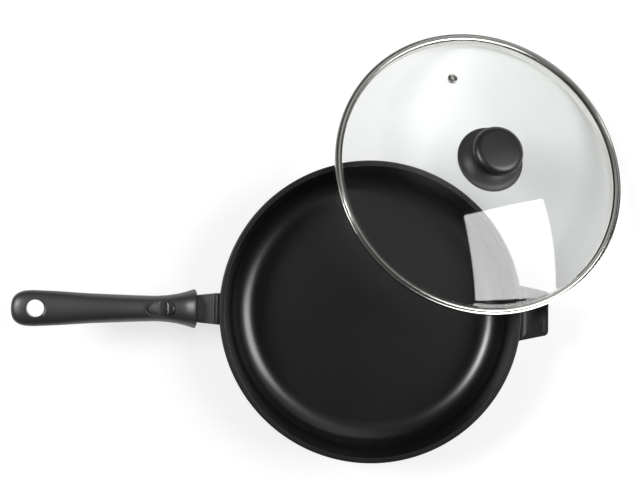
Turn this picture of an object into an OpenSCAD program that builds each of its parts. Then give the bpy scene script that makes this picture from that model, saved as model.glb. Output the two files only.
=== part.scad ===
/*
Saute pan of 28 cm: a cast aluminium pan with a side grip cast in one with it, a long moulded
handle that pulls off its lug when a thumb slider is drawn back, and a domed glass lid with a
steel rim. The lid is stored off the pan, leaning on the pan's rim and on the table.
The origin is the middle of the pan's base, on the table. The handle points along -X.
All lengths are in millimetres.
*/

/* [Pan] */
// Diameter of the straight mouth that the lid's skirt goes into
mouth_d = 281; // [260:1:300]
// Width of the rim, from the mouth to the outer edge
lip_w = 5.5; // [5:0.5:8]
// Height of the rim above the table
pan_h = 72; // [60:1:90]
// Diameter of the flat cooking floor
floor_d = 230; // [200:1:232]
// Thickness of the floor
floor_t = 6.5; // [5:0.5:8]
// Thickness of the cast wall
wall_t = 3.7; // [3:0.1:4.2]
// Radius between the floor and the wall
bowl_fillet_r = 24; // [14:1:25]

/* [Side grip] */
// Reach of the side grip past the rim
ear_reach = 28.2; // [20:0.1:45]
// Width of the side grip at the pan
ear_root_w = 56; // [44:1:70]
// Width of the side grip at its outer edge
ear_end_w = 41.6; // [34:0.1:60]
// Thickness of the side grip
ear_t = 9; // [7:0.5:11]

/* [Handle] */
// Angle by which the handle rises from level
handle_tilt = 14; // [8:1:18]
// Length of the moulded grip
grip_l = 175; // [150:1:200]
// Width of the grip at its rounded end
grip_end_w = 34.2; // [30:0.1:38]
// Height of the grip over the slider
grip_h = 23.8; // [22.6:0.1:28]
// Diameter of the hanging hole
hang_d = 16.5; // [10:0.5:20]
// Length of the lug that shows between the pan and the grip
lug_l = 29.3; // [22:0.1:34]
// Width of the lug at the grip
lug_w = 26.5; // [22:0.5:28]
// Length of the tongue inside the grip
tongue_l = 48; // [44:1:50]
// Width of the tongue
tongue_w = 15; // [12:0.5:15.5]
// Height of the tongue
tongue_h = 9; // [7:0.5:9.5]
// Travel of the thumb slider
slider_travel = 3.6; // [2:0.1:3.8]

/* [Lid] */
// Width of the steel rim from its skirt to its outer edge
lid_flange_w = 6.8; // [5:0.1:10]
// Height of the glass dome above the rim's resting face
dome_h = 30; // [20:1:50]
// Thickness of the glass
glass_t = 4; // [3:0.5:4.5]
// Depth of the steel skirt below its resting face
skirt_h = 8; // [5:0.5:12]
// Radial gap between the skirt and the mouth
skirt_gap = 1.1; // [0.6:0.1:2]
// Distance of the steam vent from the lid's middle
vent_offset = 93; // [60:1:120]

/* [Lid knob] */
// Diameter of the knob's head
knob_d = 49; // [36:1:54]
// Height from the glass to the top of the knob
knob_h = 28; // [22:0.1:36]
// Diameter of the flared plate under the knob
plate_d = 65.6; // [50:0.1:70]

/* [Leaning lid] */
// Reach of the lid from its foot on the table to the pan's rim, as a share of the skirt's radius
lean_share = 1.602; // [1.5:0.001:1.8]
// Direction in which the lid leans away, from +X towards +Y
lean_azimuth = 52.5; // [40:0.1:65]
// Turn of the lid about its own axis, which places the vent
lid_turn = 56; // [0:1:360]

/* [Hidden] */
$fn = 96;

// Overrun of every cut past the face that it opens
cut = 1;
// Gap between pieces that move past each other
play = 0.3;
// Gap between pieces that are fastened together
seat = 0.1;

// Pan, from the inside out
mouth_r = mouth_d / 2;
rim_r = mouth_r + lip_w;
floor_r = floor_d / 2;
mouth_straight = 6;
lip_h = 7;
lip_round = 2.2;
lip_chamfer = 0.8;
lip_step = 0.4;
lip_step_share = 0.42;
foot_edge = 1;
foot_overhang = 6;
groove_w = 1.6;
groove_depth = 0.5;
groove_count = 7;
groove_first_share = 0.28;
groove_last_share = 0.94;
fillet_z = floor_t + bowl_fillet_r;
wall_top_z = pan_h - mouth_straight;
wall_run = mouth_r - floor_r;
wall_rise = wall_top_z - fillet_z;
wall_a = atan2(wall_rise, wall_run) - acos(bowl_fillet_r / norm([wall_run, wall_rise]));
shell_r = bowl_fillet_r + wall_t;
foot_r = floor_r + foot_overhang;
foot_z = fillet_z - sqrt(pow(shell_r, 2) - pow(foot_overhang, 2));

// Side grip, cast with a raised border
ear_drop = 18;
ear_z = pan_h - ear_drop;
ear_tilt = 4;
ear_corner = 4;
ear_border = 3;
ear_recess = 1.2;
ear_rib_gap = 2.6;
ear_root = mouth_r;
ear_l = rim_r + ear_reach - ear_root;

// Handle frame: x runs outwards along the handle from the lug's root, z is square to it
lug_inset = 0.5;
lug_drop = 17;
lug_root_x = mouth_r - lug_inset;
lug_root_z = pan_h - lug_drop;
lug_root_w = 30.4;
lug_root_h = 16;
lug_end_h = 14;
lug_sink = 10;
rib_first = 10.6;
rib_pitch = 3.1;
rib_count = 2;
rib_w = 1.3;
rib_h = 0.7;
grip_x = lug_l + play;
tongue_x = lug_l + tongue_l;

// Latch and slider, stacked up from the tongue
liner_t = 1;
liner_gap = 0.25;
liner_in_w = tongue_w + 2 * liner_gap;
liner_in_h = tongue_h + 2 * liner_gap;
liner_w = liner_in_w + 2 * liner_t;
liner_h = liner_in_h + 2 * liner_t;
liner_lead = 1.5;
liner_x = grip_x + liner_lead;
liner_tail = 14;
liner_end = tongue_x + liner_tail;
blade_t = 0.6;
blade_w = 8;
blade_z = liner_h / 2 + seat;
hook_back = 10.8;
hook_x = tongue_x - hook_back;
hook_depth = 3.2;
notch_l = 3;
notch_play = 0.4;
notch_w = blade_w + 2 * notch_play;
window_l = 5;
window_w = 10;
latch_screw_end = 4.4;
latch_screw_x = liner_end - latch_screw_end;
latch_screw_r = 1.25;
latch_head_r = 2.3;
latch_head_h = 1.4;
latch_screw_l = 4;
latch_ear_gap = 4.2;
latch_ear_x = hook_x + latch_ear_gap;
latch_ear_l = 3.4;
latch_ear_w = 12.4;
latch_ear_rise = 1.1;
chamber_w = 14;
chamber_h = 3.15;
chamber_start = 17.5;
chamber_x = grip_x + chamber_start;
chamber_z = liner_h / 2;
roof_z = chamber_z + chamber_h;
roof_t = 2;
scoop_z = roof_z + roof_t;
scoop_start = 22.3;
scoop_x = grip_x + scoop_start;
scoop_l = 29.6;
scoop_w = 15.4;
scoop_taper = 15;
scoop_tip_share = 0.5;
pad_gap = 0.25;
pad_end_gap = 0.3;
pad_l = scoop_l - slider_travel - 2 * pad_end_gap;
pad_w = scoop_w - 4 * play;
pad_x = scoop_x + pad_end_gap;
pad_top_share = 0.572;
pad_top = pad_top_share * grip_h;
crown_r = 15;
dish_r = 15;
dish_depth = 1.8;
dish_share = 0.46;
neck_w = 5;
neck_l = 10;
neck_start = 2.4;
neck_x = pad_x + neck_start;
slot_w = neck_w + 2 * play;
slot_l = neck_l + slider_travel + 2 * play;
shoe_t = 1.65;
shoe_z = roof_z - pad_gap - shoe_t;
shoe_lead = 1;
shoe_x = neck_x - shoe_lead;
shoe_w = 12.4;
shoe_nose_gap = 0.8;
shoe_l = latch_ear_x - shoe_nose_gap - shoe_x;
leg_w = 1.6;
leg_l = 6;
leg_drop = 0.9;
slider_screw_start = 3.4;
slider_screw_x = neck_x + slider_screw_start;
slider_screw_r = 1.2;
slider_screw_l = 4.2;
slider_head_r = 2.1;
slider_head_h = 0.9;
liner_screw_r = 1.5;
liner_head_r = 2.9;
liner_head_h = 1.7;
liner_screw_sink = 0.5;
liner_screw_end = 6.2;
liner_screw_first = 11.5;
liner_screw_xs = [grip_x + liner_screw_first, liner_end - liner_screw_end];
liner_screw_short = 0.05;
liner_screw_tip = liner_in_h / 2 + liner_screw_short;

// Grip outline. Each row holds four shares: the place along the grip, the half width of the end
// width, and the heights above and below the axis of the grip's height over the slider
grip_shares = [
    [0, 0.402, 0.46, 0.31],
    [0.0055, 0.478, 0.60, 0.40],
    [0.0125, 0.548, 0.735, 0.485],
    [0.0170, 0.559, 0.765, 0.504],
    [0.0230, 0.553, 0.762, 0.502],
    [0.042, 0.520, 0.715, 0.489],
    [0.0695, 0.477, 0.655, 0.464],
    [0.123, 0.415, 0.600, 0.435],
    [0.173, 0.381, 0.580, 0.420],
    [0.235, 0.363, 0.579, 0.412],
    [0.318, 0.371, 0.574, 0.408],
    [0.45, 0.395, 0.548, 0.400],
    [0.583, 0.421, 0.507, 0.384],
    [0.67, 0.447, 0.474, 0.369],
    [0.764, 0.477, 0.436, 0.349],
    [0.84, 0.493, 0.408, 0.332],
    [0.881, 0.500, 0.393, 0.322],
    [0.915, 0.493, 0.378, 0.311],
    [0.945, 0.463, 0.355, 0.294],
    [0.968, 0.405, 0.318, 0.265],
    [0.984, 0.325, 0.264, 0.222],
    [0.994, 0.225, 0.192, 0.164],
    [1, 0.08, 0.08, 0.07]
];
grip_round = 2.3;
grip_steps = 40;
hang_share = 0.872;
hang_r = hang_d / 2;

// Lid, from its resting face up
band_t = 0.8;
band_round = 0.9;
band_inset = 0.6;
band_lip = lid_flange_w - band_inset;
skirt_r = mouth_r - skirt_gap;
lid_r = skirt_r + lid_flange_w;
glass_gap = 0.2;
glass_r = lid_r - band_t - glass_gap;
glass_z = band_t + glass_gap;
dome_edge_r = skirt_r - band_t;
dome_edge_z = glass_z + glass_t;
dome_rise = dome_h - dome_edge_z;
dome_r = (pow(dome_edge_r, 2) + pow(dome_rise, 2)) / (2 * dome_rise);
dome_z = dome_h - dome_r;
band_top = glass_z + glass_t + glass_gap + band_t;
stem_hole_r = 5;
vent_tilt = asin(vent_offset / dome_r);
vent_r = 1.8;
vent_tube_r = 2.9;
vent_hole_r = vent_tube_r + seat;
vent_flange_r = 4.85;
vent_flange_h = 1.1;
vent_washer_r = 4.4;
vent_washer_t = 0.8;
vent_roll = 0.6;
vent_seat = 0.05;

// Knob, from the glass up, all on the lid's axis
seal_t = 0.6;
seal_r = 11;
seal_sleeve_r = stem_hole_r - 2 * seat;
seal_drop = 0.15;
lower_seal_r = 9;
screw_r = 2.45;
tap_r = 2.5;
screw_gap = 0.3;
screw_head_r = 4.7;
screw_head_h = 2.6;
washer_r = 8;
washer_t = 1;
plate_r = plate_d / 2;
plate_edge = 1.7;
plate_lift = 0.35;
plate_neck_r = 13.5;
plate_h = 6.4;
plate_flat_edge = 1;
plate_flat_r = seal_r + plate_flat_edge;
plate_flare_share = 0.9;
plate_z = dome_h + seal_t;
plate_top = plate_z + plate_h;
plate_edge_z = dome_z + sqrt(pow(dome_r, 2) - pow(plate_r, 2)) + plate_lift;
knob_r = knob_d / 2;
knob_z = plate_top + seat;
knob_top = dome_h + knob_h;
knob_neck_r = 12.2;
knob_edge = 6.4;
knob_side = 0.8;
knob_crown = 0.8;
knob_flare_z = knob_top - knob_crown - knob_edge - knob_side;
knob_chamfer = 0.6;
insert_r = 4;
insert_l = 11.6;
insert_lift = 0.2;
insert_hole_r = insert_r + seat / 2;
insert_hole_l = insert_l + 2 * insert_lift;
screw_short = 2;
screw_top = knob_z + insert_l - screw_short;
under_seal_z = dome_h - glass_t - seal_drop - seal_t;
under_washer_z = under_seal_z - washer_t;

// Place of the leaning lid: its skirt stands on the table and on the pan's rim
lean_gap = 0.3;
lean_inset = 0.15;
lean_angle = asin((pan_h - lean_gap) / (skirt_r * lean_share));
lean_across = skirt_r * sqrt(1 - pow(lean_share - 1, 2));
lean_along = skirt_r * (lean_share - 1) * cos(lean_angle) + skirt_h * sin(lean_angle);
lean_out = sqrt(pow(rim_r - lean_inset, 2) - pow(lean_across, 2)) + lean_along;
lean_up = skirt_r * sin(lean_angle) + skirt_h * cos(lean_angle) + lean_gap;

function polar(a) = [cos(a), sin(a)];
function arc(c, r, a0, a1, n) = [for (i = [0:n]) c + r * polar(a0 + (a1 - a0) * i / n)];

module in_handle() {
    translate([-lug_root_x, 0, lug_root_z])
        rotate([0, handle_tilt, 0])
            mirror([1, 0, 0])
                children();
}

module in_lid() {
    translate([lean_out * cos(lean_azimuth), lean_out * sin(lean_azimuth), lean_up])
        rotate([0, 0, lean_azimuth])
            rotate([0, lean_angle, 0])
                rotate([0, 0, lid_turn])
                    children();
}

module on_dome() {
    translate([0, 0, dome_z])
        rotate([0, vent_tilt, 0])
            translate([0, 0, dome_r])
                children();
}

module disc(r, h, z = 0) {
    translate([0, 0, z])
        cylinder(r = r, h = h);
}

module ring(r_out, r_in, h, z = 0) {
    difference() {
        disc(r_out, h, z);
        disc(r_in, h + 2 * cut, z - cut);
    }
}

module block(x, y, z, l, w, h) {
    translate([x, y - w / 2, z])
        cube([l, w, h]);
}

// Pan
module pan_outside() {
    wall_n = [cos(wall_a), sin(wall_a)];
    lip_under_z = pan_h - lip_h;
    wall_top_r = mouth_r + wall_t / cos(wall_a);
    lip_c = [rim_r - lip_round, pan_h - lip_round];
    rotate_extrude()
        polygon(concat(
            [[0, 0], [foot_r - foot_edge, 0], [foot_r, foot_edge], [foot_r, foot_z]],
            arc([floor_r, fillet_z], shell_r, asin(foot_overhang / shell_r) - 90, wall_a, 10),
            [[wall_top_r, wall_top_z - lip_h / 2], [rim_r, lip_under_z + lip_w / 4]],
            arc(lip_c, lip_round, 0, 90, 6),
            [[0, pan_h]]));
}

module pan_inside() {
    step_r = mouth_r + lip_step_share * lip_w;
    rotate_extrude()
        polygon(concat(
            [[0, floor_t]],
            arc([floor_r, fillet_z], bowl_fillet_r, -90, wall_a, 10),
            [[mouth_r, wall_top_z], [mouth_r, pan_h - lip_step - lip_chamfer],
             [mouth_r + lip_chamfer, pan_h - lip_step], [step_r, pan_h - lip_step],
             [step_r + lip_step, pan_h + cut], [0, pan_h + cut]]));
}

module base_grooves() {
    for (i = [0:groove_count - 1]) {
        share = groove_first_share + (groove_last_share - groove_first_share) * i / (groove_count - 1);
        groove_r = foot_r * share;
        ring(groove_r + groove_w / 2, groove_r - groove_w / 2, groove_depth + cut, -cut);
    }
}

module lug() {
    in_handle() {
        difference() {
            translate([0, 0, -lug_root_h / 2])
                linear_extrude(lug_root_h)
                    polygon([[-lug_sink, -lug_root_w / 2], [rib_first, -lug_root_w / 2],
                             [lug_l, -lug_w / 2], [lug_l, lug_w / 2],
                             [rib_first, lug_root_w / 2], [-lug_sink, lug_root_w / 2]]);
            translate([0, lug_root_w, 0])
                rotate([90, 0, 0])
                    linear_extrude(2 * lug_root_w)
                        for (side = [0, 1])
                            mirror([0, side])
                                polygon([[rib_first, lug_root_h / 2 + cut],
                                         [rib_first, lug_root_h / 2],
                                         [lug_l + cut, lug_end_h / 2],
                                         [lug_l + cut, lug_root_h / 2 + cut]]);
        }
        for (i = [0:rib_count - 1])
            block(rib_first + rib_pitch * i, 0, 0, rib_w, lug_w,
                lug_root_h / 2 + rib_h * (1 - i / rib_count));
        difference() {
            block(0, 0, -tongue_h / 2, tongue_x, tongue_w, tongue_h);
            block(hook_x + blade_t + notch_play - notch_l, 0, tongue_h / 2 - hook_depth - notch_play,
                notch_l, notch_w, hook_depth + notch_play + cut);
        }
    }
}

module side_grip() {
    root_y = ear_root_w / 2;
    end_y = ear_end_w / 2;
    recess_x = lip_w + ear_rib_gap;
    translate([ear_root, 0, ear_z])
        rotate([0, -ear_tilt, 0])
            difference() {
                hull() {
                    translate([-wall_t, -root_y, -ear_t / 2])
                        cube([wall_t, ear_root_w, ear_t]);
                    for (side = [-1, 1])
                        translate([ear_l - ear_corner, side * (end_y - ear_corner), -ear_t / 2])
                            cylinder(r = ear_corner, h = ear_t, $fn = 32);
                }
                translate([0, 0, ear_t / 2 - ear_recess])
                    linear_extrude(ear_recess + cut)
                        polygon([[recess_x, ear_border - root_y],
                                 [ear_l - ear_border, ear_border - end_y],
                                 [ear_l - ear_border, end_y - ear_border],
                                 [recess_x, root_y - ear_border]]);
            }
}

module pan_body() {
    color([0.13, 0.13, 0.13])
        difference() {
            union() {
                pan_outside();
                lug();
                side_grip();
            }
            pan_inside();
            base_grooves();
        }
}

// Handle
function bulge(v) = sign(v) * pow(abs(v), 2 / grip_round);
function grip_side(a) = [bulge(cos(a)), bulge(sin(a))];

module grip_shape() {
    rows = len(grip_shares);
    points = [for (s = grip_shares) for (k = [0:grip_steps - 1])
        let (p = grip_side(360 * k / grip_steps), side_share = p[1] > 0 ? s[2] : s[3])
        [grip_x + s[0] * grip_l, p[0] * s[1] * grip_end_w, p[1] * side_share * grip_h]];
    sides = [for (i = [0:rows - 2]) for (k = [0:grip_steps - 1])
        let (a = i * grip_steps + k, b = i * grip_steps + (k + 1) % grip_steps)
        each [[a, b, b + grip_steps], [a, b + grip_steps, a + grip_steps]]];
    ends = [[for (k = [grip_steps - 1:-1:0]) k],
            [for (k = [0:grip_steps - 1]) (rows - 1) * grip_steps + k]];
    polyhedron(points, concat(sides, ends));
}

// Round at the end by the pan, and drawn in on a curve towards the handle's tip
module scoop_outline(x, l, w) {
    steps = 8;
    bend = [for (i = [0:steps])
        [x + l - scoop_taper * (1 - i / steps),
         w / 2 * (scoop_tip_share + (1 - scoop_tip_share) * cos(90 * i / steps))]];
    union() {
        translate([x + w / 2, 0])
            circle(r = w / 2);
        polygon(concat([[x + w / 2, w / 2]], bend,
                       [for (i = [steps:-1:0]) [bend[i][0], -bend[i][1]]],
                       [[x + w / 2, -w / 2]]));
    }
}

module liner_screw_at(x, grow) {
    bottom = liner_screw_face(x);
    translate([x, 0, 0]) {
        disc(liner_screw_r + grow, -liner_screw_tip - bottom, bottom);
        translate([0, 0, bottom])
            cylinder(r1 = liner_head_r + grow, r2 = liner_screw_r + grow, h = liner_head_h);
    }
}

function share_below(x) = lookup((x - grip_x) / grip_l, [for (s = grip_shares) [s[0], s[3]]]);
function liner_screw_face(x) = liner_screw_sink - share_below(x) * grip_h;

module handle_grip() {
    hang_x = grip_x + hang_share * grip_l;
    color([0.2, 0.2, 0.2])
        in_handle()
            difference() {
                grip_shape();
                block(grip_x - cut, 0, -liner_h / 2 - seat, liner_end + seat + cut - grip_x,
                    liner_w + 2 * seat, liner_h + 2 * seat);
                block(chamber_x, 0, 0, liner_end + seat - chamber_x, chamber_w, roof_z);
                block(neck_x - play, 0, 0, slot_l, slot_w, scoop_z + cut);
                translate([0, 0, scoop_z])
                    linear_extrude(grip_h)
                        scoop_outline(scoop_x, scoop_l, scoop_w);
                translate([hang_x, 0, 0])
                    disc(hang_r, 2 * grip_h, -grip_h);
                for (x = liner_screw_xs) {
                    liner_screw_at(x, seat);
                    translate([x, 0, 0])
                        disc(liner_head_r + seat, 2 * liner_screw_sink + cut,
                            liner_screw_face(x) - 2 * liner_screw_sink - cut);
                }
            }
}

module socket_liner() {
    color([0.7, 0.7, 0.72])
        in_handle()
            difference() {
                block(liner_x, 0, -liner_h / 2, liner_end - liner_x, liner_w, liner_h);
                block(liner_x - cut, 0, -liner_in_h / 2, liner_end - liner_x + 2 * cut,
                    liner_in_w, liner_in_h);
                block(hook_x - window_l / 2, 0, 0, window_l, window_w, liner_h);
                translate([latch_screw_x, 0, 0])
                    disc(latch_screw_r + seat, liner_h);
                for (x = liner_screw_xs)
                    translate([x, 0, 0])
                        disc(liner_screw_r + seat / 2, liner_h, -liner_h);
            }
}

module liner_screws() {
    color([0.75, 0.75, 0.77])
        in_handle()
            for (x = liner_screw_xs)
                liner_screw_at(x, 0);
}

module latch_blade() {
    blade_top = blade_z + blade_t;
    blade_end = liner_end - seat;
    color([0.72, 0.72, 0.7])
        in_handle()
            difference() {
                union() {
                    block(hook_x, 0, blade_z, blade_end - hook_x, blade_w, blade_t);
                    block(hook_x, 0, tongue_h / 2 - hook_depth, blade_t, blade_w,
                        blade_top - tongue_h / 2 + hook_depth);
                    translate([0, latch_ear_w / 2, 0])
                        rotate([90, 0, 0])
                            linear_extrude(latch_ear_w)
                                polygon([[latch_ear_x, blade_z + latch_ear_rise],
                                         [latch_ear_x + latch_ear_l, blade_z],
                                         [latch_ear_x + latch_ear_l + blade_t, blade_top],
                                         [latch_ear_x, blade_top + latch_ear_rise]]);
                }
                translate([latch_screw_x, 0, 0])
                    disc(latch_screw_r + seat, liner_h);
            }
}

module latch_screw() {
    top = blade_z + blade_t;
    color([0.75, 0.75, 0.77])
        in_handle()
            translate([latch_screw_x, 0, 0]) {
                disc(latch_screw_r, latch_screw_l, top - latch_screw_l);
                disc(latch_head_r, latch_head_h, top);
            }
}

module release_slider() {
    top_z = scoop_z + pad_gap;
    dish_x = pad_x + dish_share * pad_l;
    color([0.22, 0.22, 0.22])
        in_handle()
            difference() {
                union() {
                    difference() {
                        intersection() {
                            translate([pad_x - cut, 0, pad_top - crown_r])
                                rotate([0, 90, 0])
                                    disc(crown_r, pad_l + 2 * cut);
                            translate([0, 0, top_z])
                                linear_extrude(grip_h)
                                    scoop_outline(pad_x, pad_l, pad_w);
                        }
                        translate([dish_x, 0, pad_top - dish_depth + dish_r])
                            rotate([90, 0, 0])
                                disc(dish_r, 2 * pad_w, -pad_w);
                    }
                    block(neck_x, 0, shoe_z + shoe_t, neck_l, neck_w, top_z - shoe_z - shoe_t + pad_gap);
                }
                translate([slider_screw_x, 0, 0])
                    disc(slider_screw_r + seat / 2, shoe_z + slider_screw_l + seat);
            }
}

module slider_shoe() {
    nose_x = shoe_x + shoe_l;
    color([0.8, 0.8, 0.78])
        in_handle()
            difference() {
                union() {
                    block(shoe_x, 0, shoe_z, shoe_l, shoe_w, shoe_t);
                    for (side = [-1, 1])
                        translate([0, side * (shoe_w - leg_w) / 2 + leg_w / 2, 0])
                            rotate([90, 0, 0])
                                linear_extrude(leg_w)
                                    polygon([[nose_x - leg_l, shoe_z + shoe_t / 2],
                                             [nose_x - leg_l, shoe_z - leg_drop],
                                             [nose_x, shoe_z - leg_drop], [nose_x, shoe_z - leg_drop / 2],
                                             [nose_x - leg_drop, shoe_z + shoe_t / 2]]);
                }
                translate([slider_screw_x, 0, 0])
                    disc(slider_screw_r + seat, roof_z);
            }
}

module slider_screw() {
    color([0.75, 0.75, 0.77])
        in_handle()
            translate([slider_screw_x, 0, 0]) {
                disc(slider_screw_r, slider_screw_l, shoe_z);
                disc(slider_head_r, slider_head_h, shoe_z - slider_head_h);
            }
}

// Lid
module lid_glass() {
    color([0.8, 0.87, 0.85, 0.4])
        in_lid()
            difference() {
                rotate_extrude($fn = 180)
                    union() {
                        intersection() {
                            translate([0, dome_z])
                                difference() {
                                    circle(r = dome_r);
                                    circle(r = dome_r - glass_t);
                                }
                            translate([0, glass_z])
                                square([dome_edge_r, dome_h]);
                        }
                        translate([dome_edge_r - glass_t, glass_z])
                            square([glass_r - dome_edge_r + glass_t, glass_t]);
                    }
                disc(stem_hole_r, 2 * dome_h);
                on_dome()
                    disc(vent_hole_r, 4 * glass_t, -2 * glass_t);
            }
}

module lid_rim() {
    top_c = [lid_r - band_round, band_top - band_round];
    low_c = [lid_r - band_round, band_round];
    color([0.78, 0.78, 0.78])
        in_lid()
            rotate_extrude()
                polygon(concat(
                    [[skirt_r - band_t, -skirt_h], [skirt_r, -skirt_h], [skirt_r, 0]],
                    arc(low_c, band_round, -90, 0, 4),
                    arc(top_c, band_round, 0, 90, 4),
                    [[lid_r - band_lip, band_top], [lid_r - band_lip, band_top - band_t],
                     [lid_r - band_t, band_top - band_t], [lid_r - band_t, band_t],
                     [skirt_r - band_t, band_t]]));
}

module vent_eyelet() {
    color([0.8, 0.8, 0.8])
        in_lid()
            on_dome()
                rotate_extrude($fn = 48)
                    polygon(concat(
                        [[vent_r, -glass_t - vent_washer_t - vent_roll - vent_seat],
                         [vent_tube_r, -glass_t - vent_washer_t - vent_roll - vent_seat],
                         [vent_tube_r, vent_seat], [vent_flange_r, vent_seat]],
                        [[vent_flange_r, vent_seat + vent_flange_h / 3],
                         [vent_tube_r + vent_roll, vent_flange_h],
                         [vent_tube_r, vent_flange_h], [vent_r, vent_flange_h - vent_roll]]));
}

module vent_washer() {
    color([0.8, 0.8, 0.8])
        in_lid()
            on_dome()
                ring(vent_washer_r, vent_hole_r, vent_washer_t, -glass_t - vent_washer_t - vent_seat);
}

// Knob
module knob_plate() {
    flare_r = (plate_r - plate_neck_r) * plate_flare_share;
    flare_z = plate_edge_z + plate_edge;
    flare_h = plate_top - knob_chamfer - flare_z;
    color([0.17, 0.17, 0.17])
        in_lid()
            rotate_extrude()
                polygon(concat(
                    [[tap_r + screw_gap, plate_z], [plate_flat_r, plate_z],
                     [plate_r - plate_edge / 2, plate_edge_z], [plate_r, plate_edge_z + plate_edge / 2],
                     [plate_r - plate_edge / 2, flare_z]],
                    [for (i = [1:8]) [plate_r - plate_edge / 2 - flare_r * sin(90 * i / 8),
                                      flare_z + flare_h * (1 - cos(90 * i / 8))]],
                    [[plate_neck_r - knob_chamfer, plate_top], [tap_r + screw_gap, plate_top]]));
}

module lid_knob() {
    flare_w = knob_r - knob_neck_r;
    flare_h = knob_flare_z - knob_z - knob_chamfer;
    edge_c = [knob_r - knob_edge, knob_top - knob_crown - knob_edge];
    color([0.17, 0.17, 0.17])
        in_lid()
            difference() {
                rotate_extrude()
                    polygon(concat(
                        [[0, knob_z], [knob_neck_r - knob_chamfer, knob_z]],
                        [for (i = [0:10]) [knob_neck_r + flare_w * (1 - cos(90 * i / 10)),
                                           knob_z + knob_chamfer + flare_h * sin(90 * i / 10)]],
                        arc(edge_c, knob_edge, 0, 80, 7),
                        [[knob_r / 2, knob_top - knob_crown / 5], [0, knob_top]]));
                disc(insert_hole_r, insert_hole_l + cut, knob_z - cut);
            }
}

module knob_insert() {
    color([0.8, 0.68, 0.35])
        in_lid()
            ring(insert_r, tap_r, insert_l, knob_z + insert_lift);
}

module knob_screw() {
    color([0.75, 0.75, 0.77])
        in_lid() {
            disc(screw_r, screw_top - under_washer_z, under_washer_z);
            difference() {
                disc(screw_head_r, screw_head_h, under_washer_z - screw_head_h);
                block(-screw_head_r, 0, under_washer_z - screw_head_h - cut, 2 * screw_head_r,
                    washer_t, washer_t + cut);
            }
        }
}

module knob_washer() {
    color([0.75, 0.75, 0.77])
        in_lid()
            ring(washer_r, screw_r + screw_gap, washer_t, under_washer_z);
}

module knob_seal_upper() {
    color([0.9, 0.9, 0.88])
        in_lid()
            ring(seal_r, seal_sleeve_r, seal_t, dome_h);
}

module knob_seal_lower() {
    color([0.9, 0.9, 0.88])
        in_lid()
            difference() {
                union() {
                    disc(lower_seal_r, seal_t, under_seal_z);
                    disc(seal_sleeve_r - seat, plate_z - seat - under_seal_z, under_seal_z);
                }
                disc(screw_r + screw_gap, dome_h, under_seal_z - cut);
            }
}

pan_body();
handle_grip();
socket_liner();
liner_screws();
latch_blade();
latch_screw();
release_slider();
slider_shoe();
slider_screw();
lid_glass();
lid_rim();
vent_eyelet();
vent_washer();
knob_plate();
lid_knob();
knob_insert();
knob_screw();
knob_washer();
knob_seal_upper();
knob_seal_lower();
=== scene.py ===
"""Saute pan with a pull-off handle and a leaning glass lid, dressed around its CAD frame.

Each piece is built by its own operator, from the sizes and finishes that the sidebar panel lists.
Lengths are in metres. The handle points along -X and the pan's base stands on Z = 0.
"""
from math import acos, asin, atan2, cos, degrees, pi, radians, sin, sqrt, tan

import bmesh
import bpy
from bpy.props import FloatProperty, FloatVectorProperty, PointerProperty
from mathutils import Matrix, Vector


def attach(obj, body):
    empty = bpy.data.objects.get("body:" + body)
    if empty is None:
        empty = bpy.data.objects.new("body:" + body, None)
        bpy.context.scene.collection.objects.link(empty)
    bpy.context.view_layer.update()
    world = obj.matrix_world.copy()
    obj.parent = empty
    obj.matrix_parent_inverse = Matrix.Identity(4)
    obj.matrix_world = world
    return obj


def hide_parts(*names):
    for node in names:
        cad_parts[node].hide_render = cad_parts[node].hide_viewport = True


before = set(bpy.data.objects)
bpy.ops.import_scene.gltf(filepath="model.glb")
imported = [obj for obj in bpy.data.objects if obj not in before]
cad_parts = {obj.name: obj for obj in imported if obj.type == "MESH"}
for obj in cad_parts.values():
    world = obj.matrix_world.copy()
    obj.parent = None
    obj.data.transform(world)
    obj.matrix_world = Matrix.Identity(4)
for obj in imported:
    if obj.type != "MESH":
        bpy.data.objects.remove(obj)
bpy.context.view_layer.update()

bl_info = {
    "name": "Saute pan with glass lid",
    "version": (1, 0, 0),
    "blender": (4, 5, 0),
    "location": "View3D > Sidebar > Saute pan",
    "description": "Builds the pan, its pull-off handle and its glass lid piece by piece",
    "category": "Add Mesh",
}

mm = 0.001


# Settings
def length(label, text, value):
    return FloatProperty(name=label, description=text, default=value * mm, unit="LENGTH", precision=5)


def angle(label, text, value):
    return FloatProperty(name=label, description=text, default=radians(value), unit="ROTATION")


def share(label, text, value):
    return FloatProperty(name=label, description=text, default=value, subtype="FACTOR", precision=3)


def amount(label, text, value):
    return FloatProperty(name=label, description=text, default=value, min=0, precision=3)


def colour(label, text, value):
    return FloatVectorProperty(name=label, description=text, default=value, size=3, min=0, max=1,
                               subtype="COLOR")


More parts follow.
